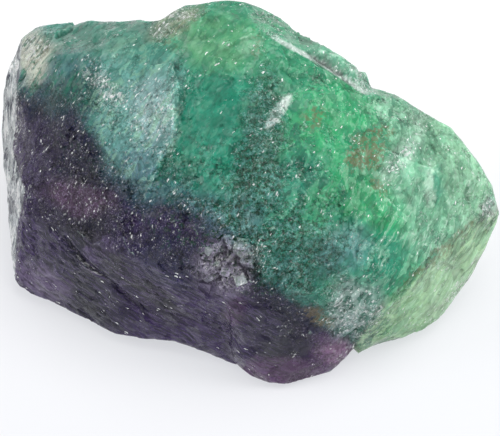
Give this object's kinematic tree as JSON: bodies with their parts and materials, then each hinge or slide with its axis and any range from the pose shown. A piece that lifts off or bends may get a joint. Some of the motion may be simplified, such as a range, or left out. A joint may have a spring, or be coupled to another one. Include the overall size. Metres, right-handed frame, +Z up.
{
  "type": "rough fluorite chunk",
  "caption": "Rough broken lump of green and purple banded fluorite with cleavage ledges and a small crystal pocket, resting on a flat underside.",
  "frame": {"origin": "under the middle of the stone's overall box, on the plane it rests on", "axes": "+X along the stone's length towards its pale green end, +Y away from the broad show face, +Z up"},
  "size_m": [0.0838, 0.061, 0.0422],
  "materials": {
    "fluorite": "translucent, frosted break faces with glassy cleavage glints, green at one end and blackish purple at the other"
  },
  "bodies": {
    "root": {"fluorite_chunk": "fluorite"}
  },
  "joints": []
}
